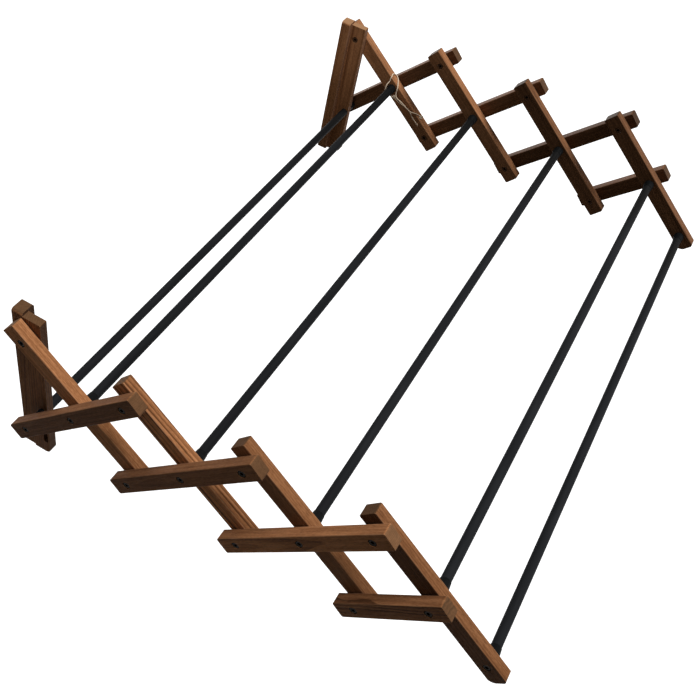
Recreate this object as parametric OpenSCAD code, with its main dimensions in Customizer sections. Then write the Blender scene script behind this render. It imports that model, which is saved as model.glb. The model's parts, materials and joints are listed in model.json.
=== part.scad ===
// Wall mounted fold-down drying rack: two wooden scissor frames on wall brackets,
// joined by round rods. Millimetres, +Z up, wall on the plane Y = 0, rack towards -Y,
// origin midway between the brackets, at the centre of their four keyholes.

/* [Rack] */
// Distance over the outer faces of the two scissor frames
overall_w = 880; // [500:5:1100]
// Distance from an arm's middle pivot to its end pivot
half_arm = 100; // [85:1:130]
// Slope of the arms over the frame's own centre line when open, in degrees
open_angle = 42.7; // [35:0.1:50]

/* [Arms] */
// Width of an arm, across its slope
arm_w = 23; // [20:0.5:30]
// Thickness of an arm
arm_t = 15; // [12:0.5:20]
// Radius of an arm's long edges
arm_edge = 1.2; // [0.5:0.1:2]
// Arm length past its upper pivot
top_overhang = 22.5; // [16:0.5:26]
// Arm length past its lower pivot
low_overhang = 23; // [14:0.5:26]
// Corner radius at an arm's upper end
top_corner = 2.5; // [1:0.5:5]
// Corner radius at an arm's lower end
low_corner = 3; // [1:0.5:8]
// Length of the last rising arm past its middle pivot
short_overhang = 23; // [14:0.5:26]
// Length of the last falling arm past its end rod
nose_overhang = 24; // [16:0.5:30]
// Radius of that nose's lower corner
nose_corner = 9; // [2:0.5:10]
// Radius of that nose's upper corner
nose_top_corner = 4.5; // [2:0.5:10]

/* [Brackets] */
// Height of a wall plate
plate_h = 246; // [230:1:300]
// Width of a wall plate along the wall
plate_w = 20; // [18:0.5:30]
// Thickness of a wall plate
plate_t = 15; // [12:0.5:20]
// Corner radius of a wall plate
plate_corner = 4; // [1:0.5:6]
// Thickness of a side board
board_t = 11; // [10:0.5:14]
// Distance from the wall plate to the side board's front edge
board_d = 24.5; // [24:0.5:32]
// Distance from the plate's top down to the side board's top
board_drop = 4; // [0:0.5:10]
// Corner radius at the side board's bottom front
board_corner = 9; // [2:0.5:12]
// Corner radius at the side board's top front
board_top_corner = 1.5; // [0.5:0.5:4]
// Distance from the plate's top down to the top pivot
pivot_drop = 27; // [24:0.5:34]
// Distance from the plate's front to the top pivot
pivot_out = 10; // [9.5:0.5:13]
// Distance that the lower pins run in front of the top pivot
pin_out = 8; // [7:0.5:8]

/* [Rods] */
// Diameter of a rod
rod_d = 12; // [10:0.5:14]
// Wall of a rod's tube
rod_wall = 1.2; // [1:0.1:1.5]
// Length of the collar at a rod's end
collar_l = 13; // [8:0.5:16]
// Largest diameter of a collar
collar_d = 15; // [14.6:0.1:16]
// Depth of a collar's plug in the rod
plug_l = 26; // [20:1:40]

/* [Fasteners] */
// Diameter of a pivot bolt's shank
bolt_d = 6; // [5:0.5:6]
// Diameter of a bolt's head
head_d = 9; // [8:0.5:10]
// Height of a bolt's head
head_h = 2.6; // [2:0.1:3]
// Width across flats of a bolt's hexagon socket
socket_d = 4; // [3:0.5:5]
// Thickness of the washers between the layers
washer_t = 1.5; // [1:0.1:2]
// Diameter of those washers
washer_d = 14; // [12:0.5:16]
// Diameter of a sleeve nut's rim
nut_rim_d = 8.8; // [8.5:0.1:10]
// Diameter of a sleeve nut's barrel
nut_barrel_d = 7.6; // [7.5:0.1:8.5]
// Length of a sleeve nut's barrel
nut_barrel_l = 9; // [6:0.5:10]
// Radial running clearance of pins and bolts
run_gap = 0.05; // [0.02:0.01:0.1]
// Depth of the pin grooves in the side boards
groove_depth = 6; // [4:0.5:6]
// Width left over in a pin groove
groove_play = 0.8; // [0.8:0.1:1.2]

/* [Keyholes] */
// Diameter of a keyhole's round entry
key_d = 10; // [8:0.5:11]
// Width of a keyhole's slot, for the screw's shank
key_slot_w = 5; // [4:0.5:6]
// Length that a screw slides up the slot
key_rise = 10; // [8:0.5:14]
// Height between the upper and lower keyholes' entries
key_pitch = 186; // [150:2:190]
// Depth of a keyhole's hollow
key_depth = 10; // [8:0.5:10]
// Wood left over the hollow beside the slot
key_skin = 3; // [2:0.5:4]

/* [Twine] */
// Diameter of the twine
twine_d = 1.6; // [1.4:0.1:1.8]

/* [Hidden] */
SIDES = [-1, 1];
CELLS = 4;

function side_name(s) = s < 0 ? "left" : "right";

// colours
WOOD = [0.42, 0.26, 0.16];
DARK_WOOD = [0.33, 0.20, 0.12];
ROD_BLACK = [0.10, 0.10, 0.11];
CAP_BLACK = [0.05, 0.05, 0.05];
STEEL = [0.28, 0.27, 0.27];
TWINE = [0.80, 0.70, 0.54];

// layers from the middle outwards: side board, falling arms, rising arms
rising_in = overall_w / 2 - arm_t;
falling_out = rising_in - washer_t;
falling_in = falling_out - arm_t;
board_out = falling_in - washer_t;
board_in = board_out - board_t;

// wall bracket, in Y and Z
top_y = -plate_t - pivot_out;
top_z = plate_h / 2 - pivot_drop;
board_front = -plate_t - board_d;
board_top = plate_h / 2 - board_drop;
board_low = -plate_h / 2;

// scissor frame: it leans so that the lower pins run straight down the boards
pivot_span = 2 * half_arm * sin(open_angle);
lean = asin(pin_out / pivot_span);
cell_l = 2 * half_arm * cos(open_angle);
// most that the frame folds from the open pose, and the pins' lowest place there
fold_angle = 33;
closed_span = 2 * half_arm * sin(open_angle + fold_angle);
open_pin_z = top_z - sqrt(pivot_span ^ 2 - pin_out ^ 2);
closed_pin_z = top_z - sqrt(closed_span ^ 2 - pin_out ^ 2);

// slopes of the two kinds of arm over the horizontal
falling_slope = open_angle - lean;
rising_slope = open_angle + lean;
// pivots: t across the frame (0 top, 1 middle, 2 bottom) at cell length n
function pivot(n, t) = [
  top_y - cos(lean) * n * cell_l - sin(lean) * t * pivot_span / 2,
  top_z + sin(lean) * n * cell_l - cos(lean) * t * pivot_span / 2
];
function top_pivot(k) = pivot(k, 0);
function mid_pivot(k) = pivot(k - 0.5, 1);
function low_pivot(k) = pivot(k, 2);

bolt_r = bolt_d / 2;
bore_r = bolt_r + run_gap;
head_sink = head_h + 0.6;
head_pocket_r = head_d / 2 + 0.5;
nut_rim_h = 1.6;
nut_sink = nut_rim_h + 0.3;
nut_pocket_r = nut_rim_d / 2 + 0.5;
nut_bore_r = nut_barrel_d / 2 + run_gap;
nut_bore_l = nut_sink + nut_barrel_l;
// least wood left past the end of a nut's barrel or a screw
least_web = 2.5;
board_nut_l = board_t - nut_sink - least_web;
rod_r = rod_d / 2;
tube_in_r = rod_r - rod_wall;
rod_end = falling_in - 0.8;
bolt_in_plug = 16;
sleeve_gap = 0.3;
groove_w = bolt_d + groove_play;
groove_y = top_y - pin_out - groove_play / 2 + run_gap * 2;
groove_end_gap = 1;
spigot_r = 3;
spigot_l = 4;
screw_x = board_out - board_t / 2;
screw_pitch = 62;
screw_r = 1.8;
screw_head_r = 3.6;
screw_l = -(groove_y + groove_w / 2) - least_web;
screw_gap = 0.04;
key_x = board_out - plate_w / 2;

// one corner radius for both corners of an end, or a pair for the lower and upper one
function pair(r) = is_list(r) ? r : [r, r];

// a 2D bar from x = -low to x = high with its own corner radii at each end
module bar_2d(low, high, w, r_low, r_high) {
  a = pair(r_low);
  b = pair(r_high);
  y = w / 2;
  polygon([
    [-low, -y + a[0]], [-low + a[0], -y], [high - b[0], -y], [high, -y + b[0]],
    [high, y - b[1]], [high - b[1], y], [-low + a[1], y], [-low, y - a[1]]
  ]);
  for (i = [0, 1]) {
    v = 2 * i - 1;
    translate([-low + a[i], v * (y - a[i])]) circle(r = a[i], $fn = 48);
    translate([high - b[i], v * (y - b[i])]) circle(r = b[i], $fn = 48);
  }
}

// the same bar as a board with eased long edges: X along it, its thickness on +Z
module eased_bar(low, high, w, t, r_low, r_high, edge) {
  intersection() {
    linear_extrude(height = t) bar_2d(low, high, w, r_low, r_high);
    translate([-low - 1, 0, t / 2]) rotate([90, 0, 90])
      linear_extrude(height = low + high + 2)
        bar_2d(w / 2, w / 2, t, edge, edge);
  }
}

// turns a shape drawn in X (outwards), Y (up) and +Z (thickness towards the outside)
// into the plane of side s, at layer face x and pivot p, with X sloping down a degrees
module on_side(s, x, p, a) {
  mirror([s < 0 ? 1 : 0, 0, 0])
    translate([x, p[0], p[1]]) rotate([a, 0, 0]) rotate([90, 0, 0]) rotate([0, -90, 0])
      mirror([0, 0, 1]) children();
}

// holes of one arm: a bolt's bore with the head's pocket outside, or a nut's inside
module bolt_hole(t, pocket) {
  translate([0, 0, -1]) cylinder(r = bore_r, h = t + 2, $fn = 48);
  if (pocket == "head")
    translate([0, 0, t - head_sink]) cylinder(r = head_pocket_r, h = head_sink + 1, $fn = 48);
  if (pocket == "nut") {
    translate([0, 0, -1]) cylinder(r = nut_pocket_r, h = nut_sink + 1, $fn = 48);
    translate([0, 0, -1]) cylinder(r = nut_bore_r, h = nut_bore_l + 1, $fn = 48);
  }
}

// falling arm k: from the top pivot, down and outwards past the next bottom pivot
module falling_arm(s, k) {
  last = k == CELLS;
  color(WOOD)
    on_side(s, falling_in, mid_pivot(k), falling_slope) difference() {
      eased_bar(half_arm + top_overhang, half_arm + (last ? nose_overhang : low_overhang),
                arm_w, arm_t, top_corner,
                last ? [nose_corner, nose_top_corner] : low_corner, arm_edge);
      bolt_hole(arm_t, "none");
      translate([-half_arm, 0, 0]) bolt_hole(arm_t, k == 1 ? "head" : "nut");
      translate([half_arm, 0, 0]) bolt_hole(arm_t, last ? "head" : "nut");
    }
}

// rising arm k: from the bottom pivot, up and outwards; the last one ends at its middle
module rising_arm(s, k) {
  last = k == CELLS;
  color(WOOD)
    on_side(s, rising_in, mid_pivot(k), -rising_slope) difference() {
      eased_bar(half_arm + low_overhang, last ? short_overhang : half_arm + top_overhang,
                arm_w, arm_t, low_corner, top_corner, arm_edge);
      bolt_hole(arm_t, "head");
      translate([-half_arm, 0, 0]) bolt_hole(arm_t, "head");
      if (!last) translate([half_arm, 0, 0]) bolt_hole(arm_t, "head");
    }
}

// wall plate with two keyholes in its back, for the wall screws
module keyhole() {
  rotate([90, 0, 0]) {
    translate([0, 0, -1]) cylinder(d = key_d, h = key_depth + 1, $fn = 48);
    translate([-key_slot_w / 2, 0, -1]) cube([key_slot_w, key_rise, key_depth + 1]);
    translate([0, key_rise, -1]) cylinder(d = key_slot_w, h = key_depth + 1, $fn = 48);
    translate([-key_d / 2, 0, key_skin]) cube([key_d, key_rise, key_depth - key_skin]);
    translate([0, key_rise, key_skin])
      cylinder(d = key_d, h = key_depth - key_skin, $fn = 48);
  }
}

module wall_plate(s) {
  color(DARK_WOOD)
    mirror([s < 0 ? 1 : 0, 0, 0]) difference() {
      translate([key_x, 0, 0]) rotate([0, -90, 90])
        linear_extrude(height = plate_t)
          bar_2d(plate_h / 2, plate_h / 2, plate_w, plate_corner, plate_corner);
      for (v = [-1, 1]) translate([key_x, 0, v * key_pitch / 2]) keyhole();
      for (v = [-1:1]) translate([screw_x, 0, v * screw_pitch]) screw_shape(screw_gap);
    }
}

// side board: carries the top pivot, and its outer face has the groove of the slide pin
module side_board(s) {
  color(DARK_WOOD)
    mirror([s < 0 ? 1 : 0, 0, 0]) difference() {
      translate([board_in, 0, 0]) rotate([90, 0, 90]) linear_extrude(height = board_t)
        board_outline();
      translate([board_in - 1, top_y, top_z]) rotate([0, 90, 0])
        cylinder(r = bore_r, h = board_t + 2, $fn = 48);
      translate([board_in - 1, top_y, top_z]) rotate([0, 90, 0])
        cylinder(r = nut_pocket_r, h = nut_sink + 1, $fn = 48);
      translate([board_in - 1, top_y, top_z]) rotate([0, 90, 0])
        cylinder(r = nut_bore_r, h = board_nut_l + nut_sink + 1, $fn = 48);
      groove();
      translate([board_in - 1, top_y - pin_out, open_pin_z]) rotate([0, 90, 0])
        cylinder(r = spigot_r + screw_gap, h = spigot_l + 1.2, $fn = 48);
      for (v = [-1:1]) translate([screw_x, 0, v * screw_pitch]) screw_shape(screw_gap);
    }
}

// in Y and Z, with rounded front corners
module board_outline() {
  r = board_corner;
  q = board_top_corner;
  translate([board_front + r, board_low]) square([board_d - r, board_top - board_low]);
  translate([board_front, board_low + r])
    square([board_d, board_top - board_low - r - q]);
  translate([board_front + q, board_top - q - 1]) square([board_d - q, q + 1]);
  translate([board_front + r, board_low + r]) circle(r = r, $fn = 64);
  translate([board_front + q, board_top - q]) circle(r = q, $fn = 32);
}

module groove() {
  high = open_pin_z + groove_end_gap;
  low = closed_pin_z - groove_end_gap;
  x = board_out - groove_depth;
  for (z = [low, high]) translate([x, groove_y, z]) rotate([0, 90, 0])
    cylinder(d = groove_w, h = groove_depth + 1, $fn = 48);
  translate([x, groove_y - groove_w / 2, low])
    cube([groove_depth + 1, groove_w, high - low]);
}

// countersunk wood screw that enters from the wall side
module screw_shape(gap) {
  rotate([90, 0, 0]) {
    translate([0, 0, -0.01]) cylinder(r = screw_r + gap, h = screw_l + gap, $fn = 32);
    translate([0, 0, -0.01])
      cylinder(r1 = screw_head_r + gap, r2 = screw_r + gap,
               h = screw_head_r - screw_r + 0.01, $fn = 32);
  }
}

module bracket_screws() {
  color(STEEL)
    for (s = SIDES, v = [-1:1]) mirror([s < 0 ? 1 : 0, 0, 0])
      translate([screw_x, 0, v * screw_pitch]) difference() {
        screw_shape(0);
        rotate([90, 0, 0]) translate([0, 0, -1]) cylinder(d = 2.2, h = 2.2, $fn = 6);
      }
}

// one tube, between the x planes -end and +end
module tube(end, p) {
  color(ROD_BLACK)
    translate([-end, p[0], p[1]]) rotate([0, 90, 0]) difference() {
      cylinder(r = rod_r, h = 2 * end, $fn = 64);
      translate([0, 0, -1]) cylinder(r = tube_in_r, h = 2 * end + 2, $fn = 48);
    }
}

// moulded end cap: a plug in the tube and a flared collar over it, against the arm
module collar_profile() {
  polygon([
    [bore_r, 0], [collar_d / 2 - 0.5, 0], [collar_d / 2, 0.5], [collar_d / 2, 2],
    [rod_r + 0.5, collar_l - 0.4], [rod_r + 0.2, collar_l],
    [rod_r + run_gap, collar_l], [rod_r + run_gap, falling_in - rod_end],
    [tube_in_r - run_gap, falling_in - rod_end], [tube_in_r - run_gap, plug_l - 1],
    [tube_in_r - 1, plug_l], [bore_r, plug_l]
  ]);
}

module rod_collars(p) {
  color(CAP_BLACK)
    for (s = SIDES) mirror([s < 0 ? 1 : 0, 0, 0])
      translate([falling_in, p[0], p[1]]) rotate([0, -90, 0])
        rotate_extrude($fn = 64) collar_profile();
}

// plug of the bracket rod, with the spigot that seats in the side board
module bracket_rod_plugs() {
  color(CAP_BLACK)
    for (s = SIDES) mirror([s < 0 ? 1 : 0, 0, 0])
      translate([board_in, top_y - pin_out, open_pin_z]) rotate([0, -90, 0]) {
        translate([0, 0, -spigot_l]) cylinder(r = spigot_r, h = spigot_l + 1, $fn = 48);
        cylinder(r = tube_in_r - run_gap, h = plug_l, $fn = 48);
      }
}

// bolt with a low head and a hexagon socket, its head's outer face at z = 0
module bolt(l) {
  difference() {
    union() {
      translate([0, 0, -head_h]) cylinder(r = head_d / 2, h = head_h - 0.5, $fn = 48);
      translate([0, 0, -0.5]) cylinder(r1 = head_d / 2, r2 = head_d / 2 - 0.5, h = 0.5, $fn = 48);
      translate([0, 0, -l]) cylinder(r = bolt_r, h = l - head_h + 0.5, $fn = 48);
    }
    translate([0, 0, -head_h + 0.8]) cylinder(d = socket_d / cos(30), h = head_h, $fn = 6);
  }
}

// sleeve nut: rim against the wood, barrel round the bolt's end, rim's face at z = 0
module sleeve_nut(l) {
  difference() {
    union() {
      cylinder(r = nut_rim_d / 2, h = nut_rim_h, $fn = 48);
      cylinder(r = nut_barrel_d / 2, h = nut_rim_h + l, $fn = 48);
    }
    translate([0, 0, 1]) cylinder(r = bore_r, h = l + nut_rim_h, $fn = 48);
    translate([0, 0, -1]) cylinder(d = socket_d / cos(30), h = 2.01, $fn = 6);
  }
}

// puts children on both frames at pivot p, +Z outwards, with z = 0 at x
module both_sides(x, p) {
  for (s = SIDES) mirror([s < 0 ? 1 : 0, 0, 0])
    translate([x, p[0], p[1]]) rotate([0, 90, 0]) children();
}

head_back = head_sink - head_h;
rising_head_x = rising_in + arm_t - head_back;
falling_head_x = falling_out - head_back;
nut_face = nut_sink - nut_rim_h;
nut_tip_gap = 1;
// bolt from a rising arm's face into the sleeve nut in the falling arm
long_bolt_l = rising_head_x - falling_in - nut_face - 1 - nut_tip_gap;
// bolt from a rising arm's face into a rod's plug
rod_bolt_l = rising_head_x - falling_in + bolt_in_plug;
// bolt from the last falling arm's face into the end rod's plug
end_bolt_l = falling_head_x - falling_in + bolt_in_plug;
// bolt from the first falling arm's face into the nut in the side board
top_bolt_l = falling_head_x - board_in - nut_face - 1 - nut_tip_gap;

module top_bolts() {
  color(STEEL) both_sides(falling_head_x, top_pivot(0)) bolt(top_bolt_l);
}

module top_nuts() {
  color(STEEL) both_sides(board_in + nut_face, top_pivot(0)) sleeve_nut(board_nut_l);
}

// bolts that turn with falling arm k: at its rod, and at its lower end
module falling_arm_bolts(k) {
  color(STEEL) {
    both_sides(rising_head_x, mid_pivot(k)) bolt(rod_bolt_l);
    if (k < CELLS) both_sides(rising_head_x, low_pivot(k)) bolt(long_bolt_l);
    else both_sides(falling_head_x, low_pivot(k)) bolt(end_bolt_l);
  }
}

module falling_arm_nuts(k) {
  color(STEEL) both_sides(falling_in + nut_face, low_pivot(k)) sleeve_nut(nut_barrel_l);
}

module rising_arm_bolts(k) {
  color(STEEL) both_sides(rising_head_x, top_pivot(k)) bolt(long_bolt_l);
}

module rising_arm_nuts(k) {
  color(STEEL) both_sides(falling_in + nut_face, top_pivot(k)) sleeve_nut(nut_barrel_l);
}

module washer() {
  difference() {
    cylinder(r = washer_d / 2, h = washer_t, $fn = 48);
    translate([0, 0, -1]) cylinder(r = bore_r, h = washer_t + 2, $fn = 48);
  }
}

// washers on falling arm k: on its outer face at each pivot, or its inner face at the top
module falling_arm_washers(k) {
  color(CAP_BLACK) {
    if (k == 1) both_sides(board_out, top_pivot(0)) washer();
    else both_sides(falling_out, top_pivot(k - 1)) washer();
    both_sides(falling_out, mid_pivot(k)) washer();
    if (k < CELLS) both_sides(falling_out, low_pivot(k)) washer();
  }
}

// pins of the first rising arms, which slide down the side boards' grooves
module slide_pins() {
  l = rising_head_x - board_out + groove_depth - 0.5;
  color(STEEL) both_sides(rising_head_x, low_pivot(0)) bolt(l);
}

module slide_sleeves() {
  l = rising_in - board_out - sleeve_gap;
  color(ROD_BLACK) both_sides(board_out + sleeve_gap, low_pivot(0)) difference() {
    cylinder(r = rod_r, h = l, $fn = 64);
    translate([0, 0, -1]) cylinder(r = bore_r, h = l + 2, $fn = 48);
  }
}

// twine tied round the first rod and hung over the right falling arm's top edge;
// its points, from the first end to the other, start at the rod's axis on the arm's face
knot_at = [-5, -9.5, -9];
twine_points = [
  // first tail, down the arm's top face and over its edge to the knot
  [12.5, -61.5, -34], [6, -57.5, -30.7], [0.5, -52.5, -26.4], [-2.6, -47, -25],
  [-3.3, -41.5, -24.5], [-4.3, -31, -18.5], [-5, -22.5, -13.5], [-5, -16, -11],
  [-5, -12, -7.8],
  // up the arm's face, over its top edge, round the notch and back
  [-4.7, -10.6, -2.8], [-3.6, -10.5, 3.5], [-1.4, -9.8, 8], [2.5, -8, 9.9],
  [8, -5.2, 12.1], [11.6, -3, 13.9], [13.3, 0.4, 16.7], [12.2, 3.6, 19.3],
  [8.8, 5.2, 21], [5.2, 6.1, 21.3], [1.7, 5.3, 20.8], [-0.4, 5.3, 19.3], [-1.5, 5.6, 16.4],
  // down and round the rod's collar to the knot again
  [-2, 5.9, 12.5], [-5.8, 7.6, 8], [-7.5, 8.3, 3.5], [-8, 7.9, -1.5], [-7.5, 5.8, -6],
  [-6.6, 1.5, -8.8], [-5.8, -3.5, -10.2], [-5.2, -8.5, -10.8],
  // second tail, along the arm's inner face
  [-5, -14, -13], [-4.6, -20.5, -16.2], [-2.9, -30, -20.3], [-1.9, -41, -26.5],
  [-1.4, -49, -35.5], [-1.4, -60.3, -44]
];
// a direction that no stretch of the twine follows, from which its rings are turned
twine_side = [0.74, 0, -0.67];

// points along a smooth curve through the list p, n to each stretch
function smooth(p, n) = [
  for (i = [0:len(p) - 2], j = [0:n - 1])
    let (t = j / n, a = p[max(i - 1, 0)], b = p[i], c = p[i + 1],
         d = p[min(i + 2, len(p) - 1)])
      0.5 * (2 * b + (c - a) * t + (2 * a - 5 * b + 4 * c - d) * t ^ 2
             + (3 * b - a - 3 * c + d) * t ^ 3),
  p[len(p) - 1]
];

// one closed tube of diameter d along the points p
module cord(p, d) {
  sides = 8;
  n = len(p);
  rings = [
    for (i = [0:n - 1])
      let (v = p[min(i + 1, n - 1)] - p[max(i - 1, 0)], u = v / norm(v),
           e = cross(u, twine_side), f = e / norm(e), g = cross(u, f))
        for (j = [0:sides - 1])
          p[i] + d / 2 * (cos(360 * j / sides) * f + sin(360 * j / sides) * g)
  ];
  polyhedron(
    points = rings,
    faces = concat(
      [[for (j = [0:sides - 1]) j]],
      [for (i = [0:n - 2], j = [0:sides - 1])
        [i * sides + j, (i + 1) * sides + j, (i + 1) * sides + (j + 1) % sides,
         i * sides + (j + 1) % sides]],
      [[for (j = [sides - 1:-1:0]) (n - 1) * sides + j]]
    )
  );
}

module at_twine() {
  p = mid_pivot(1);
  color(TWINE) translate([falling_in, p[0], p[1]]) children();
}

module twine() {
  at_twine() cord(smooth(twine_points, 2), twine_d);
}

module twine_knot() {
  at_twine() translate(knot_at) sphere(r = 1.7 * twine_d, $fn = 24);
}

for (s = SIDES) {
  wall_plate(s);
  side_board(s);
  for (k = [1:CELLS]) {
    falling_arm(s, k);
    rising_arm(s, k);
  }
}
tube(board_in, [top_y - pin_out, open_pin_z]);  // bracket_rod
bracket_rod_plugs();
bracket_screws();
for (k = [1:CELLS]) {
  tube(rod_end, mid_pivot(k));
  rod_collars(mid_pivot(k));
  falling_arm_bolts(k);
  falling_arm_washers(k);
}
tube(rod_end, low_pivot(CELLS));  // end_rod
rod_collars(low_pivot(CELLS));  // end_rod_collars
top_bolts();
top_nuts();
for (k = [1:CELLS - 1]) {
  falling_arm_nuts(k);
  rising_arm_bolts(k);
  rising_arm_nuts(k);
}
slide_pins();
slide_sleeves();
twine();
twine_knot();
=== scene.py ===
"""Wall mounted fold-down drying rack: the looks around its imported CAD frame."""

import json
import math
import random

import bpy
from mathutils import Matrix, Vector


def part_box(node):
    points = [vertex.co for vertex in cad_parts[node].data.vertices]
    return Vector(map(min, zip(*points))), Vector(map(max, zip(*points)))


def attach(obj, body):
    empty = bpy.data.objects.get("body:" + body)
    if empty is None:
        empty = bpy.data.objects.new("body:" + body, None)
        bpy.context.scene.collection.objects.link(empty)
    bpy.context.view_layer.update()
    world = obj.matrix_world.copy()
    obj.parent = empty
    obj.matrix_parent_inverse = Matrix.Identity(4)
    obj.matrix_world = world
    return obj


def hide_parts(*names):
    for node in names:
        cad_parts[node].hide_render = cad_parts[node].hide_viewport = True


MM = 0.001
CELLS = 4  # of each scissor frame
SIDES = ("left", "right")
WHITE = (1, 1, 1, 1)

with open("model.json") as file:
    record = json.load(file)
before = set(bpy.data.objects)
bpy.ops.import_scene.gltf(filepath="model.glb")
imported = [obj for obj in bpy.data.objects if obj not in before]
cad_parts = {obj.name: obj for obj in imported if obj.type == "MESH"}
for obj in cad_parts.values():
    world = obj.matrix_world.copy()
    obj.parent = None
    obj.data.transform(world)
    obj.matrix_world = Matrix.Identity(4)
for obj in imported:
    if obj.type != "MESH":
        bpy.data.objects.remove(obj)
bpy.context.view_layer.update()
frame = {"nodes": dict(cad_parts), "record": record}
nodes = frame["nodes"]
pivots = {j["name"]: Vector(j["pos_m"]) for j in frame["record"]["behaviour"]["joints"]}

# where the arms of each cell cross, and how far both kinds of arm are turned about X
crossings = [pivots[f"middle_pivot_{k}"] for k in range(1, CELLS + 1)]
run = pivots["fold"] - crossings[0]
falling_turn = math.atan2(run.z, run.y)
run = crossings[1] - pivots["lower_pivot_1"]
rising_turn = -math.atan2(run.z, -run.y)


def link(name, data):
    """A new object of this name around data, linked to the scene."""
    made = bpy.data.objects.new(name, data)
    bpy.context.collection.objects.link(made)
    return made


# ---------------------------------------------------------------- camera
EYE = (-0.93436, -0.52747, 0.90962)
LOOK_AHEAD = (0.61653, 0.23650, -0.75097)
LOOK_UP = (0.61333, 0.45380, 0.64645)


def make_camera():
    """The camera of the product view: above the left bracket, in front of the wall."""
    data = bpy.data.cameras.new("camera")
    data.sensor_width = 36
    data.lens = 48.93
    data.shift_x, data.shift_y = 0.0941, 0.0113
    data.clip_start, data.clip_end = 0.05, 60
    camera = link("camera", data)
    ahead = Vector(LOOK_AHEAD).normalized()
    right = ahead.cross(Vector(LOOK_UP)).normalized()
    turn = Matrix((right, right.cross(ahead), -ahead)).transposed()
    camera.matrix_world = Matrix.Translation(EYE) @ turn.to_4x4()
    bpy.context.scene.camera = camera


make_camera()
bpy.context.scene.view_settings.view_transform = "Standard"


# ---------------------------------------------------------------- node helpers
def add(tree, kind, values=None, **settings):
    """A new node, with its settings, and its inputs by name or number: a value or a link."""
    made = tree.nodes.new(kind)
    for name, value in settings.items():
        setattr(made, name, value)
    for key, value in (values or {}).items():
        if isinstance(value, bpy.types.NodeSocket):
            tree.links.new(value, made.inputs[key])
        else:
            made.inputs[key].default_value = value
    return made


def math_node(tree, operation, a, b=None, c=None, clamp=False):
    """The result of a math node; MULTIPLY_ADD gives a * b + c."""
    values = {i: v for i, v in enumerate((a, b, c)) if v is not None}
    made = add(tree, "ShaderNodeMath", values, operation=operation, use_clamp=clamp)
    return made.outputs[0]


def span(tree, value, low, high, to_low=0.0, to_high=1.0):
    """value, taken from the span low to high onto to_low to to_high, smoothly."""
    values = {0: value, 1: low, 2: high, 3: to_low, 4: to_high}
    made = add(tree, "ShaderNodeMapRange", values, interpolation_type="SMOOTHSTEP")
    return made.outputs[0]


def blend_colour(tree, factor, a, b, kind="MIX"):
    """Colour a at factor 0 and colour b at 1, or a times b with kind MULTIPLY."""
    made = add(tree, "ShaderNodeMix", {0: factor, 6: a, 7: b}, data_type="RGBA",
               blend_type=kind)
    return made.outputs[2]


def toned(tree, colour, red, green, blue):
    """colour times a fixed tone."""
    return blend_colour(tree, 1.0, colour, (red, green, blue, 1), "MULTIPLY")


def new_material(name):
    """A material with its node tree and its one Principled shader."""
    material = bpy.data.materials.new(name)
    material.use_nodes = True
    tree = material.node_tree
    tree.nodes.clear()
    shader = tree.nodes.new("ShaderNodeBsdfPrincipled")
    out = tree.nodes.new("ShaderNodeOutputMaterial")
    tree.links.new(shader.outputs[0], out.inputs[0])
    return material, tree, shader


def noise(tree, place, scale, detail=2.0, rough=0.5):
    """Noise with scale features to the metre, or three scales along X, Y and Z."""
    if isinstance(scale, tuple):
        place = add(tree, "ShaderNodeVectorMath", {0: place, 1: scale},
                    operation="MULTIPLY").outputs[0]
        scale = 1.0
    values = {"Vector": place, "Scale": scale, "Detail": detail, "Roughness": rough}
    return add(tree, "ShaderNodeTexNoise", values).outputs[0]


def finish(tree, shader, colour, roughness, specular):
    """Gives the shader its colour and roughness, each a link, and its specular level."""
    tree.links.new(colour, shader.inputs["Base Color"])
    tree.links.new(roughness, shader.inputs["Roughness"])
    shader.inputs["Specular IOR Level"].default_value = specular


def bump(tree, shader, height, distance, strength):
    """Relief of the shader's surface, distance metres deep at height 1."""
    made = add(tree, "ShaderNodeBump", {"Height": height, "Distance": distance,
                                        "Strength": strength})
    tree.links.new(made.outputs[0], shader.inputs["Normal"])


# ---------------------------------------------------------------- wood
# the wood's colours where it took up little, some and much of the dark stain
LIGHT_WOOD = (0.377, 0.167, 0.073, 1)
MID_WOOD = (0.235, 0.097, 0.039, 1)
DARK_WOOD = (0.085, 0.034, 0.014, 1)
END_GRAIN = (0.107, 0.061, 0.032)
# the paler colour of rubbed edges, partly wear and partly painted highlight
RUBBED_AND_HIGHLIT_WOOD = (0.46, 0.25, 0.14, 1)
FACES = (0.55, 0.85)  # the part of a normal along an axis where its own faces begin
# how much stain each feature takes up, and how much has to come together before it shows
STREAK_STAIN, FIBRE_STAIN, FLECK_STAIN, PATCH_STAIN = 0.36, 0.16, 0.22, 0.5
LEAST_STAIN = 0.34


def grain(tree, place, across, along, detail=3.0, rough=0.6):
    """Noise drawn out along the grain, with so many features to the metre both ways."""
    return noise(tree, place, (across, along, across), detail, rough)


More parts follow.
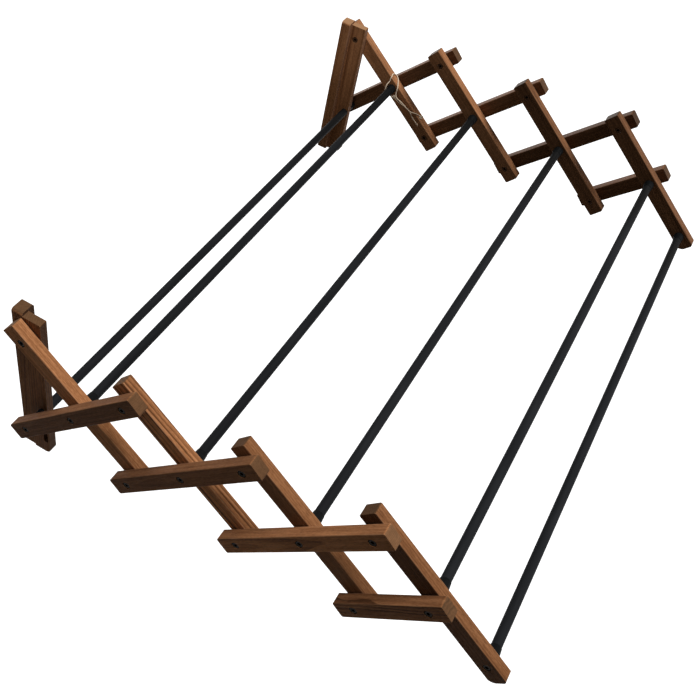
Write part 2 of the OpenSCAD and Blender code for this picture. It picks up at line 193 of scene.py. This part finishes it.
def rings(tree, moved, pitch, sway, tilt):
    """Where late wood lies in the rings round the heart, and each ring's own tone."""
    apart = add(tree, "ShaderNodeSeparateXYZ", {0: moved})
    wave = grain(tree, moved, 30, 5, rough=0.5)
    wave = math_node(tree, "MULTIPLY_ADD", wave, 2 * sway * MM, -sway * MM)
    cross_x = math_node(tree, "MULTIPLY_ADD", apart.outputs[1], tilt[0], apart.outputs[0])
    cross_z = math_node(tree, "MULTIPLY_ADD", apart.outputs[1], tilt[1], apart.outputs[2])
    cross = add(tree, "ShaderNodeCombineXYZ", {0: cross_x, 2: cross_z}).outputs[0]
    radius = add(tree, "ShaderNodeVectorMath", {0: cross}, operation="LENGTH")
    radius = math_node(tree, "ADD", radius.outputs["Value"], wave)
    year = math_node(tree, "DIVIDE", radius, pitch * MM)
    part = math_node(tree, "FRACT", year)
    late = math_node(tree, "MULTIPLY", span(tree, part, 0.25, 0.86),
                     span(tree, part, 1.0, 0.93))
    whole = math_node(tree, "FLOOR", year)
    year_tone = noise(tree, add(tree, "ShaderNodeCombineXYZ", {0: whole}).outputs[0], 3.7, 0.0)
    return late, year_tone


def rubbed_and_highlit_edges(tree, here, moved, half):
    """How far each spot is rubbed paler, partly wear and partly painted highlight: most along
    the bar's long edges, unevenly.
    """
    local = add(tree, "ShaderNodeSeparateXYZ", {0: here})
    gaps = [math_node(tree, "SUBTRACT", size,
                      math_node(tree, "ABSOLUTE", local.outputs[axis]))
            for size, axis in zip(half, (0, 2))]
    edge = span(tree, math_node(tree, "MAXIMUM", *gaps), 1.5 * MM, 0.2 * MM)
    worn = grain(tree, moved, 240, 60, 2.0)
    edge = math_node(tree, "MULTIPLY", edge, span(tree, worn, 0.3, 0.65, 0.15, 0.7))
    return math_node(tree, "MULTIPLY", edge, 0.6)


def wood(name, centre, turn, half, seed, pitch=2.1, tone=1.0, figure=0.3, end_lighting=1.0,
         broad_lighting=1.0, front_lighting=1.0, nap=0.05, sway=3.0):
    """Stained hardwood whose grain runs along local Y after a turn about X.

    half is the bar's half thickness and half width; seed places the board in its log;
    pitch is its rings' width in mm, figure how plainly they show and sway how far they
    wander, in mm. tone is how pale the board is, and also carries painted light and shade.
    end_lighting scales the colour of its end grain, as painted light on the brackets' top
    ends, and broad_lighting and front_lighting paint light and shade on its faces across X
    and across Y beside the others. nap is how much fine fuzz stands on the wood, which greys
    faces seen along them.
    """
    draw = random.Random(seed)
    material, tree, shader = new_material(name)
    place = add(tree, "ShaderNodeTexCoord")
    here = add(tree, "ShaderNodeMapping",
               {"Vector": place.outputs["Object"], "Location": centre,
                "Rotation": (turn, 0, 0)}, vector_type="TEXTURE").outputs[0]

    # the heart of the log lies off the board and tilts a little
    away = draw.uniform(0, 2 * math.pi)
    far = draw.uniform(0.03, 0.07)
    heart = (far * math.cos(away), draw.uniform(-0.5, 0.5), far * math.sin(away))
    tilt = (draw.uniform(-0.03, 0.03), draw.uniform(-0.03, 0.03))
    moved = add(tree, "ShaderNodeVectorMath", {0: here, 1: heart},
                operation="SUBTRACT").outputs[0]
    late, year_tone = rings(tree, moved, pitch, sway, tilt)

    # fibres, pores and slow patches, all drawn out along the grain
    fibre = grain(tree, moved, 1500, 26)
    streak = grain(tree, moved, 230, 8)
    fleck = grain(tree, moved, 900, 210, 2.0)
    pore = span(tree, grain(tree, moved, 1900, 95, 1.0, 0.4), 0.62, 0.72)
    patch = grain(tree, moved, 38, 9, 2.0, 0.5)

    # how much of the dark stain each spot took up
    dark = math_node(tree, "MULTIPLY", late,
                     span(tree, year_tone, 0.3, 0.7, 0.2 * figure, 1.3 * figure))
    for feature, stain in ((span(tree, streak, 0.3, 0.72), STREAK_STAIN),
                           (span(tree, fibre, 0.35, 0.7), FIBRE_STAIN),
                           (span(tree, fleck, 0.3, 0.7), FLECK_STAIN),
                           (patch, PATCH_STAIN)):
        dark = math_node(tree, "MULTIPLY_ADD", feature, stain, dark)
    dark = math_node(tree, "SUBTRACT", dark, LEAST_STAIN, clamp=True)
    colour = blend_colour(tree, span(tree, dark, 0.0, 0.5), LIGHT_WOOD, MID_WOOD)
    colour = blend_colour(tree, span(tree, dark, 0.4, 1.1), colour, DARK_WOOD)
    colour = blend_colour(tree, math_node(tree, "MULTIPLY", pore, 0.55), colour, DARK_WOOD)

    # end grain drinks more stain; its colour is also scaled, which on the brackets is painted
    # light on their top ends
    along = (0, math.cos(turn), math.sin(turn))
    facing = add(tree, "ShaderNodeVectorMath", {0: place.outputs["Normal"], 1: along},
                 operation="DOT_PRODUCT").outputs["Value"]
    end = span(tree, math_node(tree, "ABSOLUTE", facing), *FACES)
    dull = blend_colour(tree, 0.72, colour, (*(end_lighting * level for level in END_GRAIN), 1))
    colour = blend_colour(tree, end, colour, dull)

    # handled edges are rubbed a little paler, and this paler colour also stands as painted
    # highlights along the edges
    colour = blend_colour(tree, rubbed_and_highlit_edges(tree, here, moved, half), colour, RUBBED_AND_HIGHLIT_WOOD)

    # the board's tone, which also carries painted light and shade, then painted light and
    # shade on its faces across X and across Y
    colour = toned(tree, colour, tone, tone, tone)
    across = add(tree, "ShaderNodeSeparateXYZ", {0: place.outputs["Normal"]})
    for axis, lighting in enumerate((broad_lighting, front_lighting)):
        faces = math_node(tree, "ABSOLUTE", across.outputs[axis])
        colour = blend_colour(tree, span(tree, faces, *FACES), colour,
                              toned(tree, colour, lighting, lighting, lighting))

    rough = math_node(tree, "MULTIPLY_ADD", fibre, 0.22, 0.40)
    rough = math_node(tree, "MULTIPLY_ADD", end, 0.18, rough)
    finish(tree, shader, colour, rough, 0.012)
    shader.inputs["Sheen Weight"].default_value = nap
    shader.inputs["Sheen Roughness"].default_value = 0.4
    height = math_node(tree, "MULTIPLY_ADD", fibre, 0.5,
                       math_node(tree, "MULTIPLY", late, -0.25))
    height = math_node(tree, "MULTIPLY_ADD", pore, -0.7, height)
    bump(tree, shader, height, 0.16 * MM, 0.6)
    return material


def give(name, material):
    """Gives a node this material in all its slots."""
    for slot in nodes[name].material_slots:
        slot.material = material


def centre_of(name):
    """The middle of a node's box."""
    low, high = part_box(name)
    return (low + high) / 2


# half thickness and half width of the bars
ARM_HALF = (7.5 * MM, 11.5 * MM)
PLATE_HALF = (10 * MM, 7.5 * MM)
BOARD_HALF = (5.5 * MM, 12.25 * MM)
# how pale each arm's board is, from the wall outwards: partly its own tone, partly painted
# light and shade
ARM_TONES_AND_LIGHT = {"left_falling": (1.35, 1.35, 0.9, 0.85),
             "left_rising": (0.95, 0.9, 1.5, 1.0),
             "right_falling": (1.15, 1.15, 0.75, 0.7),
             "right_rising": (0.8, 0.8, 0.5, 0.65)}
# painted light and shade on their broad faces, beside the narrow ones
ARM_BROAD_LIGHTING = {"left_falling": (1.2, 1.5, 0.92, 0.45),
                   "left_rising": (0.5, 0.75, 0.9, 0.85),
                   "right_falling": (1.0, 1.0, 0.85, 0.9),
                   "right_rising": (0.65, 1.0, 0.85, 0.85)}
# and how plainly their rings show
ARM_FIGURES = {"left_falling": (0.12, 1.0, 0.15, 0.25),
               "left_rising": (0.2, 0.2, 0.4, 0.9),
               "right_falling": (0.2, 0.2, 0.3, 0.3),
               "right_rising": (0.2, 0.2, 0.2, 0.2)}
# two arms are sawn from faster grown wood, one of them with wavy rings
OTHER_GRAIN = {"left_falling_arm_2": {"pitch": 4.4},
               "left_rising_arm_4": {"pitch": 5.5, "sway": 16.0}}
ARM_NAPS = {"left": 0.05, "right": 0.42}
# painted light and shade on each bracket: on the whole board, its top end grain, its broad
# faces and its front faces
BRACKET_LIGHTING = {
    "left": {"tone": 0.75, "end_lighting": 1.3, "broad_lighting": 1.2, "front_lighting": 0.45},
    "right": {"tone": 1.05, "end_lighting": 3.6, "broad_lighting": 1.1, "front_lighting": 0.9}}
TURNS = {"falling": falling_turn, "rising": rising_turn}

seed = 11
for side in SIDES:
    for k in range(1, CELLS + 1):
        for kind, turn in TURNS.items():
            name, row = f"{side}_{kind}_arm_{k}", f"{side}_{kind}"
            middle = crossings[k - 1].copy()
            middle.x = centre_of(name).x
            seed += 1
            give(name, wood(f"wood_{name}", middle, turn, ARM_HALF, seed,
                            tone=ARM_TONES_AND_LIGHT[row][k - 1],
                            broad_lighting=ARM_BROAD_LIGHTING[row][k - 1],
                            figure=ARM_FIGURES[row][k - 1],
                            nap=ARM_NAPS[side], **OTHER_GRAIN.get(name, {})))
    for kind, half in (("wall_plate", PLATE_HALF), ("side_board", BOARD_HALF)):
        name = f"{side}_{kind}"
        seed += 1
        give(name, wood(f"wood_{name}", centre_of(name), math.pi / 2, half, seed,
                        pitch=2.6, **BRACKET_LIGHTING[side]))


# ---------------------------------------------------------------- dark finishes
def powder_coat(name, tone):
    """Satin charcoal powder coat with its fine orange peel, and painted shade at the rods'
    right ends.

    tone is how pale it is.
    """
    material, tree, shader = new_material(name)
    where = add(tree, "ShaderNodeTexCoord").outputs["Object"]
    peel = noise(tree, where, 1300, 2.0, 0.55)
    dust = noise(tree, where, (9, 60, 60), 3.0, 0.6)
    plain, dusty = ((*(tone * level for level in levels), 1)
                    for levels in ((0.0150, 0.0157, 0.0175), (0.0215, 0.0224, 0.0250)))
    colour = blend_colour(tree, span(tree, dust, 0.35, 0.75), plain, dusty)
    # painted shade: the coat darkens towards the rods' right ends
    along = add(tree, "ShaderNodeSeparateXYZ", {0: where}).outputs[0]
    colour = blend_colour(tree, span(tree, along, 0.22, 0.36), colour,
                          toned(tree, colour, 0.68, 0.64, 0.58))
    finish(tree, shader, colour, math_node(tree, "MULTIPLY_ADD", dust, 0.16, 0.36), 0.015)
    bump(tree, shader, peel, 0.03 * MM, 0.35)
    return material


def moulded_plastic():
    """Matt black moulded plastic, rubbed a little paler here and there."""
    material, tree, shader = new_material("black_moulded_plastic")
    where = add(tree, "ShaderNodeTexCoord").outputs["Object"]
    dimples = noise(tree, where, 2200, 1.0)
    rub = noise(tree, where, 170, 3.0, 0.65)
    colour = blend_colour(tree, span(tree, rub, 0.55, 0.8), (0.0060, 0.0064, 0.0067, 1),
                          (0.0150, 0.0157, 0.0160, 1))
    finish(tree, shader, colour, math_node(tree, "MULTIPLY_ADD", rub, 0.25, 0.30), 0.03)
    bump(tree, shader, dimples, 0.03 * MM, 0.4)
    return material


def steel(name, dark, worn):
    """Chemically darkened steel with worn spots."""
    material, tree, shader = new_material(name)
    where = add(tree, "ShaderNodeTexCoord").outputs["Object"]
    wear = noise(tree, where, 420, 3.0, 0.6)
    colour = blend_colour(tree, span(tree, wear, 0.5, 0.75), dark, worn)
    finish(tree, shader, colour, math_node(tree, "MULTIPLY_ADD", wear, 0.3, 0.22), 0.01)
    shader.inputs["Metallic"].default_value = 0.15
    bump(tree, shader, wear, 0.05 * MM, 0.4)
    return material


finishes = {"rod_finish": powder_coat("charcoal_powder_coat", 0.97),
            "black_plastic": moulded_plastic(),
            "dark_steel": steel("blackened_steel", dark=(0.004, 0.003, 0.002, 1),
                                worn=(0.020, 0.012, 0.008, 1))}
# a darker copy of the coat, as painted shade on some rods
shaded_coat = powder_coat("shaded_powder_coat", 0.77)
browned = steel("browned_steel", dark=(0.045, 0.021, 0.011, 1),
                worn=(0.110, 0.056, 0.030, 1))
# nodes whose finish differs a little from that of their slot: the bracket rod and the first
# two rods get a darker copy of the coat, which is painted shade, and the nuts browned steel
other_finishes = {name: shaded_coat for name in ("bracket_rod", "rod_1", "rod_2")}
other_finishes.update((name, browned) for name in nodes if name.endswith("_nuts"))
for part in frame["record"]["subparts"]:
    name, slot = part["node"], part["material_slot"]
    if slot in finishes:
        give(name, other_finishes.get(name, finishes[slot]))


# ---------------------------------------------------------------- floor and light
def seen_white(tree):
    """1 for rays of the camera, and of gloss and glass, which show the background too."""
    ray = add(tree, "ShaderNodeLightPath")
    seen = ray.outputs["Is Camera Ray"]
    for kind in ("Is Glossy Ray", "Is Transmission Ray"):
        seen = math_node(tree, "MAXIMUM", seen, ray.outputs[kind])
    return seen


def shown_by_ray(tree, unseen, seen):
    """The shader seen for the rays of seen_white, and unseen for all others."""
    mixed = add(tree, "ShaderNodeMixShader", {0: seen_white(tree), 1: unseen.outputs[0],
                                              2: seen.outputs[0]})
    return mixed.outputs[0]


FLOOR_REACH = 14.0
FLOOR_HEIGHT = -1.35  # the rack hangs on a wall, well above it


def make_floor():
    """A plain pale floor, which shows white and keeps the rack's shadow."""
    corners = [(x * FLOOR_REACH, y * FLOOR_REACH, FLOOR_HEIGHT)
               for x, y in ((-1, -1), (1, -1), (1, 1), (-1, 1))]
    mesh = bpy.data.meshes.new("floor")
    mesh.from_pydata(corners, [], [(0, 1, 2, 3)])
    floor = link("floor", mesh)
    material, tree, shader = new_material("floor_white")
    shader.inputs["Base Color"].default_value = (0.05, 0.05, 0.05, 1)
    shader.inputs["Roughness"].default_value = 1.0
    lighting = add(tree, "ShaderNodeBsdfDiffuse", {"Color": (0.8, 0.8, 0.8, 1)})
    glow = add(tree, "ShaderNodeEmission", {"Color": WHITE, "Strength": 0.5})
    both = add(tree, "ShaderNodeAddShader", {0: lighting.outputs[0], 1: glow.outputs[0]})
    out = next(n for n in tree.nodes if n.type == "OUTPUT_MATERIAL")
    tree.links.new(shown_by_ray(tree, shader, both), out.inputs[0])
    mesh.materials.append(material)


def make_world():
    """A soft, faint light from all round, behind a white background."""
    world = bpy.data.worlds.new("studio")
    bpy.context.scene.world = world
    world.use_nodes = True
    tree = world.node_tree
    tree.nodes.clear()
    soft = add(tree, "ShaderNodeBackground", {"Color": (0.96, 1.0, 0.92, 1),
                                              "Strength": 0.066})
    white = add(tree, "ShaderNodeBackground", {"Color": WHITE, "Strength": 1.0})
    out = add(tree, "ShaderNodeOutputWorld")
    tree.links.new(shown_by_ray(tree, soft, white), out.inputs[0])


def sun_light(name, towards, level, spread):
    """A soft sun from the direction towards; level 1 shows a facing colour as written."""
    data = bpy.data.lights.new(name, "SUN")
    data.energy = level * math.pi
    data.angle = spread
    lamp = link(name, data)
    lamp.rotation_euler = Vector(towards).to_track_quat("Z", "Y").to_euler()


def spot_light(name, place, aim, level):
    """A soft spot from place to aim, which shows a facing colour at aim at this level."""
    data = bpy.data.lights.new(name, "SPOT")
    ray = Vector(place) - Vector(aim)
    data.energy = level * 4 * math.pi ** 2 * ray.length_squared
    data.spot_size, data.spot_blend = 0.40, 1.0
    data.shadow_soft_size = 0.12
    lamp = link(name, data)
    lamp.location = place
    lamp.rotation_euler = ray.to_track_quat("Z", "Y").to_euler()


make_floor()
make_world()
sun_light("key_light", towards=(0.08, -0.27, 0.96), level=1.02, spread=0.45)
spot_light("bracket_light", place=(-0.25, -0.08, 0.36), aim=(0.40, -0.02, 0.10), level=0.28)


# ---------------------------------------------------------------- twine
TWINE_D = 1.6 * MM
TWINE_LAY = 4.6 * MM  # the length in which its plies go once round
PLIES = 3
# the first cross on the inner face of the right arm, which the points are measured from
twine_start = Vector((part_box("right_falling_arm_1")[0].x, *crossings[0].yz))
# first tail, knot, loop over the arm's top edge and round the collar, second tail, in mm
TWINE_POINTS = [
    (12.5, -61.5, -34), (6, -57.5, -30.7), (0.5, -52.5, -26.4), (-2.6, -47, -25),
    (-3.3, -41.5, -24.5), (-4.3, -31, -18.5), (-5, -22.5, -13.5), (-5, -16, -11),
    (-5, -12, -7.8), (-4.7, -10.6, -2.8), (-3.6, -10.5, 3.5), (-1.4, -9.8, 8),
    (2.5, -8, 9.9), (8, -5.2, 12.1), (11.6, -3, 13.9), (13.3, 0.4, 16.7),
    (12.2, 3.6, 19.3), (8.8, 5.2, 21), (5.2, 6.1, 21.3), (1.7, 5.3, 20.8),
    (-0.4, 5.3, 19.3), (-1.5, 5.6, 16.4), (-2, 5.9, 12.5), (-5.8, 7.6, 8),
    (-7.5, 8.3, 3.5), (-8, 7.9, -1.5), (-7.5, 5.8, -6), (-6.6, 1.5, -8.8),
    (-5.8, -3.5, -10.2), (-5.2, -8.5, -10.8), (-5, -14, -13), (-4.6, -20.5, -16.2),
    (-2.9, -30, -20.3), (-1.9, -41, -26.5), (-1.4, -49, -35.5), (-1.4, -60.3, -44),
]


def smooth_line(points, steps):
    """Points along a smooth curve through the list, steps to each stretch."""
    line = []
    for i in range(len(points) - 1):
        a, b = points[max(i - 1, 0)], points[i]
        c, d = points[i + 1], points[min(i + 2, len(points) - 1)]
        for j in range(steps):
            t = j / steps
            line.append(0.5 * (2 * b + (c - a) * t + (2 * a - 5 * b + 4 * c - d) * t ** 2
                               + (3 * b - a - 3 * c + d) * t ** 3))
    return line + [points[-1]]


def curve_from(name, line, closed=False):
    """A curve object of straight stretches through the points of line."""
    data = bpy.data.curves.new(name, "CURVE")
    data.dimensions = "3D"
    spline = data.splines.new("POLY")
    spline.points.add(len(line) - 1)
    for point, place in zip(spline.points, line):
        point.co = (*place, 1)
    spline.use_cyclic_u = closed
    return link(name, data)


def geometry_tree(name, inputs):
    """A node tree with a geometry input and output, and named numbers with their defaults."""
    tree = bpy.data.node_groups.new(name, "GeometryNodeTree")
    tree.interface.new_socket("Geometry", in_out="INPUT", socket_type="NodeSocketGeometry")
    for label, value in inputs.items():
        kind = "NodeSocketInt" if isinstance(value, int) else "NodeSocketFloat"
        made = tree.interface.new_socket(label, in_out="INPUT", socket_type=kind)
        made.default_value = value
    tree.interface.new_socket("Geometry", in_out="OUTPUT", socket_type="NodeSocketGeometry")
    return tree, add(tree, "NodeGroupInput"), add(tree, "NodeGroupOutput")


def settle(name, source, tree, inputs=None):
    """Runs a geometry tree on source with these inputs, and keeps only its plain mesh."""
    modifier = source.modifiers.new(name, "NODES")
    modifier.node_group = tree
    for item in tree.interface.items_tree:
        if item.in_out == "INPUT" and item.name in (inputs or {}):
            modifier[item.identifier] = inputs[item.name]
    ready = source.evaluated_get(bpy.context.evaluated_depsgraph_get())
    mesh = bpy.data.meshes.new_from_object(ready)
    mesh.name = name
    bpy.data.objects.remove(source)
    return link(name, mesh)


def end_with(tree, out, tube, material):
    """Ends a geometry tree with real meshes of this material."""
    real = add(tree, "GeometryNodeRealizeInstances", {0: tube})
    done = add(tree, "GeometryNodeSetMaterial", {"Geometry": real.outputs[0]})
    done.inputs["Material"].default_value = material
    tree.links.new(done.outputs[0], out.inputs[0])
    return tree


def strand_tree(material):
    """Plies laid up round a path: a lobed outline that turns along it."""
    tree, given, out = geometry_tree("laid_strand", {"Radius": TWINE_D / 2,
                                                     "Lay": TWINE_LAY})
    path = add(tree, "GeometryNodeSplineParameter")
    turns = math_node(tree, "DIVIDE", path.outputs["Length"], given.outputs["Lay"])
    tilt = math_node(tree, "MULTIPLY", turns, 2 * math.pi)
    tilted = add(tree, "GeometryNodeSetCurveTilt", {"Curve": given.outputs["Geometry"],
                                                    "Tilt": tilt})
    outline = add(tree, "GeometryNodeCurvePrimitiveCircle", {"Resolution": 24, "Radius": 1.0})
    place = add(tree, "GeometryNodeInputPosition").outputs[0]
    apart = add(tree, "ShaderNodeSeparateXYZ", {0: place})
    angle = math_node(tree, "ARCTAN2", apart.outputs[1], apart.outputs[0])
    lobe = math_node(tree, "SINE", math_node(tree, "MULTIPLY", angle, PLIES / 2))
    lobe = math_node(tree, "POWER", math_node(tree, "ABSOLUTE", lobe), 0.7)
    reach = math_node(tree, "MULTIPLY_ADD", lobe, 0.34, 0.84)
    reach = math_node(tree, "MULTIPLY", reach, given.outputs["Radius"])
    spread = add(tree, "ShaderNodeVectorMath", {0: place, "Scale": reach}, operation="SCALE")
    outline = add(tree, "GeometryNodeSetPosition", {"Geometry": outline.outputs[0],
                                                    "Position": spread.outputs[0]})
    tube = add(tree, "GeometryNodeCurveToMesh",
               {"Curve": tilted.outputs[0], "Profile Curve": outline.outputs[0],
                "Fill Caps": True})
    smooth = add(tree, "GeometryNodeSetShadeSmooth", {0: tube.outputs[0]})
    return end_with(tree, out, smooth.outputs[0], material)


def fuzz_tree(material):
    """Loose fibres that stand off the twine's surface."""
    tree, given, out = geometry_tree("loose_fibres", {
        "Density": 90000.0, "Length": 1.4 * MM, "Thickness": 0.035 * MM, "Seed": 5})
    spots = add(tree, "GeometryNodeDistributePointsOnFaces",
                {"Mesh": given.outputs["Geometry"], "Density": given.outputs["Density"],
                 "Seed": given.outputs["Seed"]})
    hair = add(tree, "GeometryNodeCurveQuadraticBezier",
               {"Resolution": 4, "Start": (0, 0, 0), "Middle": (0.15, 0.1, 0.6),
                "End": (0.75, 0.2, 0.75)})
    slimness = math_node(tree, "DIVIDE", given.outputs["Thickness"], given.outputs["Length"])
    ring = add(tree, "GeometryNodeCurvePrimitiveCircle", {"Resolution": 3,
                                                          "Radius": slimness})
    tube = add(tree, "GeometryNodeCurveToMesh",
               {"Curve": hair.outputs[0], "Profile Curve": ring.outputs[0],
                "Fill Caps": True})
    turn = add(tree, "FunctionNodeRandomValue",
               {0: (-0.5, -0.5, 0.0), 1: (0.5, 0.5, 6.28), "Seed": given.outputs["Seed"]},
               data_type="FLOAT_VECTOR")
    aim = add(tree, "FunctionNodeRotateRotation",
              {0: spots.outputs["Rotation"], 1: turn.outputs[0]}, rotation_space="LOCAL")
    size = add(tree, "FunctionNodeRandomValue",
               {2: 0.35, 3: 1.0, "Seed": given.outputs["Seed"]})
    size = math_node(tree, "MULTIPLY", size.outputs[1], given.outputs["Length"])
    placed = add(tree, "GeometryNodeInstanceOnPoints",
                 {"Points": spots.outputs[0], "Instance": tube.outputs[0],
                  "Rotation": aim.outputs[0], "Scale": size})
    return end_with(tree, out, placed.outputs[0], material)


def jute():
    """Plain pale jute: dry, uneven fibres."""
    material, tree, shader = new_material("jute")
    where = add(tree, "ShaderNodeTexCoord").outputs["Object"]
    fibre = noise(tree, where, 2600, 3.0, 0.65)
    patch = noise(tree, where, 160, 2.0)
    colour = blend_colour(tree, span(tree, fibre, 0.3, 0.7), (0.62, 0.42, 0.26, 1),
                          (0.97, 0.80, 0.60, 1))
    colour = blend_colour(tree, math_node(tree, "MULTIPLY", patch, 0.5), colour,
                          (0.92, 0.74, 0.55, 1))
    tree.links.new(colour, shader.inputs["Base Color"])
    shader.inputs["Roughness"].default_value = 0.9
    shader.inputs["Specular IOR Level"].default_value = 0.2
    shader.inputs["Sheen Weight"].default_value = 0.8
    bump(tree, shader, fibre, 0.08 * MM, 0.8)
    return material


def overhand_winding(centre, points=96):
    """The closed path of an overhand knot round centre: a trefoil, about 3.5 mm wide."""
    winding = []
    for i in range(points):
        t = 2 * math.pi * i / points
        ring = 1.35 + 0.55 * math.cos(3 * t)
        winding.append(centre + MM * Vector((
            0.92 * math.sin(3 * t), ring * math.cos(2 * t), ring * math.sin(2 * t))))
    return winding


FIBRE_RADIUS = 0.11  # mm, at a fibre's root
FIBRE_STEPS = 3


def frayed_ends(tails, material):
    """Loose fibres at the twine's ends.

    Each tail has its points from the tip inwards, its number of fibres, how far these
    part, and how far they lean inwards, in mm.
    """
    draw = random.Random(3)
    verts, faces = [], []
    for tail, fibres, flare, lean in tails:
        ahead = (tail[0] - tail[-1]).normalized()
        side = ahead.orthogonal().normalized()
        other = ahead.cross(side)
        for _ in range(fibres):
            tip = draw.choice(tail)
            off = Vector([draw.uniform(-1, 1) for _ in range(3)])
            off = (off - ahead * off.dot(ahead)) * 0.45 * MM
            bend = (Vector([draw.uniform(-1, 1) for _ in range(3)])
                    * draw.uniform(0.2, 1.5) * MM)
            bend.x -= lean * draw.uniform(0.2, 1) * MM
            length = draw.uniform(0.6, 3.0) * MM
            root = len(verts)
            for step in range(FIBRE_STEPS + 1):
                t = step / FIBRE_STEPS
                at = (tip + off * (1 + flare * t) + ahead * (length * t - 0.4 * MM)
                      + bend * t * t)
                for corner in range(3):
                    a = 2 * math.pi * corner / 3
                    verts.append(at + (side * math.cos(a) + other * math.sin(a))
                                 * FIBRE_RADIUS * MM * (1 - 0.5 * t))
            for step in range(FIBRE_STEPS):
                for corner in range(3):
                    p = root + step * 3 + corner
                    q = root + step * 3 + (corner + 1) % 3
                    faces.append((p, q, q + 3, p + 3))
            last = root + FIBRE_STEPS * 3
            faces.append((root + 2, root + 1, root))
            faces.append((last, last + 1, last + 2))
    mesh = bpy.data.meshes.new("twine_frayed_ends")
    mesh.from_pydata(verts, [], faces)
    mesh.materials.append(material)
    return link("twine_frayed_ends", mesh)


def make_twine():
    """The twine tied round the first rod's end: strand, knot, stray fibres and frayed ends."""
    material = jute()
    line = smooth_line([Vector(p) * MM + twine_start for p in TWINE_POINTS], 12)
    strands = strand_tree(material)
    tie = settle("twine_tie", curve_from("tie_path", line), strands)
    winding = overhand_winding(twine_start + Vector((-5, -9.5, -9)) * MM)
    knot = settle("twine_overhand_knot", curve_from("knot_path", winding, closed=True),
                  strands, {"Radius": 0.72 * MM, "Lay": 4.2 * MM})
    fuzz = settle("twine_fibres", link("fuzz_base", tie.data.copy()), fuzz_tree(material))
    frayed = frayed_ends(((line[:10], 380, 2.6, 8.0), (line[:-8:-1], 70, 1.4, 1.2)), material)

    for piece in (tie, knot, fuzz, frayed):
        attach(piece, "falling_pair_1")
    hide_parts("twine")
    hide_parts("twine_knot")


make_twine()
